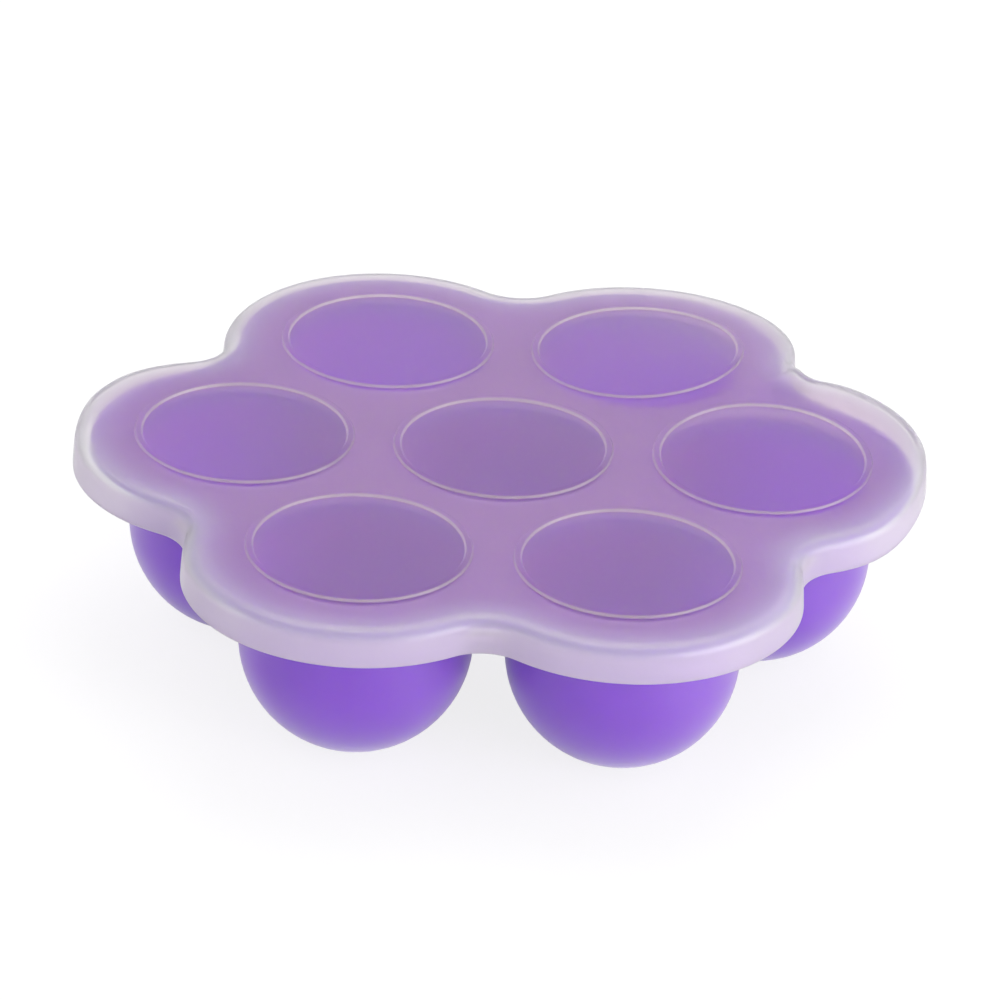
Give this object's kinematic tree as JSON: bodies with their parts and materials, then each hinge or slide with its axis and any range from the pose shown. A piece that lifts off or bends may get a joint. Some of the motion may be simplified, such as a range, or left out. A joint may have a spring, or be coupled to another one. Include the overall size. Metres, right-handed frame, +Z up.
{
  "type": "baby food freezer tray",
  "caption": "Soft freezer tray: round-bottomed cups hang from a flower-shaped flange, under a translucent clip-on lid with a raised ring over each cup.",
  "frame": {"origin": "on the table, under the middle cup's flat foot", "axes": "+Z up out of the cups, the way the lid lifts; +X through two opposite outer cups"},
  "size_m": [0.2078, 0.191, 0.0504],
  "materials": {
    "tray_silicone": "satin purple silicone, opaque",
    "lid_silicone": "milky translucent silicone, satin"
  },
  "bodies": {
    "tray": {"cup_tray": "tray_silicone"},
    "lid": {"snap_lid": "lid_silicone"}
  },
  "joints": [
    {"name": "lid_lift", "type": "slide", "parent": "tray", "child": "lid", "axis": [0, 0, 1], "range_m": [0, 0.06]}
  ]
}
